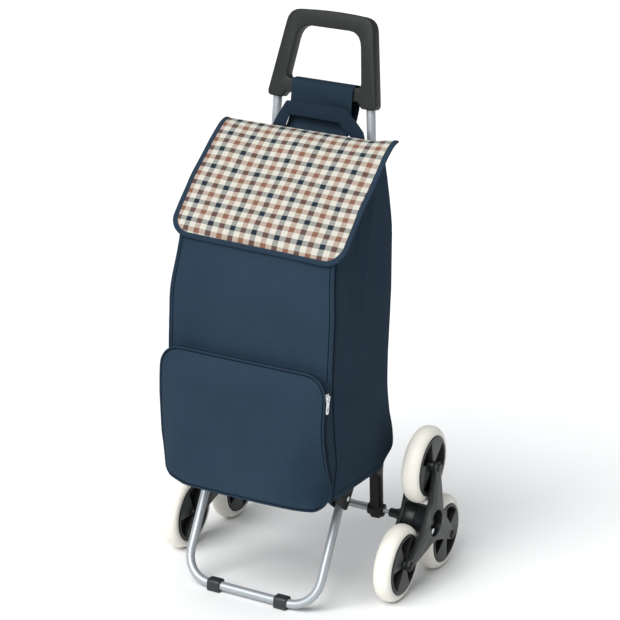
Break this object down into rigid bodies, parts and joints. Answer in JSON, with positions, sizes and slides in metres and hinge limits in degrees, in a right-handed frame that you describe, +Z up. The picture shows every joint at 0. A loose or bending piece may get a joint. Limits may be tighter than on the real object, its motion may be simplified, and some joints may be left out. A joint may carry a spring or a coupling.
{
  "type": "folding shopping trolley",
  "caption": "Folding shopping trolley: open-top fabric bag with a front pocket and plaid flap on a tube frame with a loop grip, folding stand and stair-climbing three-wheel clusters.",
  "frame": {"origin": "centre of the bounding box at floor level", "axes": "+Z up, the pocket and the stand face -Y, the wheels are at +Y, +X is the side with the zip"},
  "size_m": [0.491, 0.483, 1.0125],
  "materials": {
    "steel_paint": "satin",
    "zinc": "satin",
    "black_plastic": "matte",
    "grey_plastic": "matte",
    "tyre": "matte",
    "navy_fabric": "matte",
    "navy_webbing": "matte",
    "plaid_fabric": "matte"
  },
  "bodies": {
    "frame": {"grip": "grey_plastic", "axle_tube": "steel_paint", "axle_rod": "zinc", "bag_body": "navy_fabric", "pocket": "navy_fabric", "hanging_sleeve": "navy_fabric", "upright_left": "steel_paint", "post_left": "black_plastic", "fold_pin_left": "zinc", "axle_cap_left": "black_plastic", "upright_right": "steel_paint", "post_right": "black_plastic", "fold_pin_right": "zinc", "axle_cap_right": "black_plastic"},
    "platform": {"platform_rail": "black_plastic", "base_board": "black_plastic", "bracket_left": "black_plastic", "stand_pin_left": "zinc", "bracket_right": "black_plastic", "stand_pin_right": "zinc"},
    "stand": {"stand_tube": "steel_paint", "foot_left": "grey_plastic", "foot_right": "grey_plastic"},
    "flap": {"flap": "plaid_fabric"},
    "strap": {"carry_strap": "navy_webbing"},
    "slider": {"zip_slider": "zinc"},
    "puller": {"zip_puller": "zinc"},
    "spider_left": {"spider_left": "grey_plastic", "release_button_left": "zinc", "pin_top_left": "black_plastic", "pin_front_left": "black_plastic", "pin_rear_left": "black_plastic"},
    "wheel_top_left": {"disc_top_left": "grey_plastic", "tyre_top_left": "tyre"},
    "wheel_front_left": {"disc_front_left": "grey_plastic", "tyre_front_left": "tyre"},
    "wheel_rear_left": {"disc_rear_left": "grey_plastic", "tyre_rear_left": "tyre"},
    "spider_right": {"spider_right": "grey_plastic", "release_button_right": "zinc", "pin_top_right": "black_plastic", "pin_front_right": "black_plastic", "pin_rear_right": "black_plastic"},
    "wheel_top_right": {"disc_top_right": "grey_plastic", "tyre_top_right": "tyre"},
    "wheel_front_right": {"disc_front_right": "grey_plastic", "tyre_front_right": "tyre"},
    "wheel_rear_right": {"disc_rear_right": "grey_plastic", "tyre_rear_right": "tyre"}
  },
  "joints": [
    {"name": "platform_fold", "type": "hinge", "parent": "frame", "child": "platform", "pos_m": [0, 0.05503, 0.2095], "axis": [1, 0, 0], "range_deg": [-85, 0], "deforming": ["bag_body", "pocket"]},
    {"name": "stand_fold", "type": "hinge", "parent": "platform", "child": "stand", "pos_m": [0, -0.07647, 0.195], "axis": [1, 0, 0], "range_deg": [0, 108]},
    {"name": "flap_open", "type": "hinge", "parent": "frame", "child": "flap", "pos_m": [0, -0.02547, 0.8135], "axis": [1, 0, 0], "range_deg": [-100, 0]},
    {"name": "strap_swing", "type": "hinge", "parent": "frame", "child": "strap", "pos_m": [0, -0.02207, 0.8192], "axis": [1, 0, 0], "range_deg": [0, 100]},
    {"name": "zip_slide", "type": "slide", "parent": "frame", "child": "slider", "axis": [0, 0, 1], "range_m": [-0.08, 0]},
    {"name": "zip_pull_swing", "type": "hinge", "parent": "slider", "child": "puller", "pos_m": [0.16135, -0.22597, 0.4246], "axis": [0, 1, 0], "range_deg": [-85, 0]},
    {"name": "spider_left_spin", "type": "hinge", "parent": "frame", "child": "spider_left", "pos_m": [-0.213, 0.08053, 0.1225], "axis": [1, 0, 0], "continuous": true},
    {"name": "wheel_top_left_spin", "type": "hinge", "parent": "spider_left", "child": "wheel_top_left", "pos_m": [-0.213, 0.08053, 0.2275], "axis": [1, 0, 0], "continuous": true},
    {"name": "wheel_front_left_spin", "type": "hinge", "parent": "spider_left", "child": "wheel_front_left", "pos_m": [-0.213, -0.0104, 0.07], "axis": [1, 0, 0], "continuous": true},
    {"name": "wheel_rear_left_spin", "type": "hinge", "parent": "spider_left", "child": "wheel_rear_left", "pos_m": [-0.213, 0.17147, 0.07], "axis": [1, 0, 0], "continuous": true},
    {"name": "spider_right_spin", "type": "hinge", "parent": "frame", "child": "spider_right", "pos_m": [0.213, 0.08053, 0.1225], "axis": [1, 0, 0], "continuous": true},
    {"name": "wheel_top_right_spin", "type": "hinge", "parent": "spider_right", "child": "wheel_top_right", "pos_m": [0.213, 0.08053, 0.2275], "axis": [1, 0, 0], "continuous": true},
    {"name": "wheel_front_right_spin", "type": "hinge", "parent": "spider_right", "child": "wheel_front_right", "pos_m": [0.213, -0.0104, 0.07], "axis": [1, 0, 0], "continuous": true},
    {"name": "wheel_rear_right_spin", "type": "hinge", "parent": "spider_right", "child": "wheel_rear_right", "pos_m": [0.213, 0.17147, 0.07], "axis": [1, 0, 0], "continuous": true}
  ],
  "couplings": [
    {"joint": "stand_fold", "follows": "platform_fold", "ratio": -1.27}
  ]
}
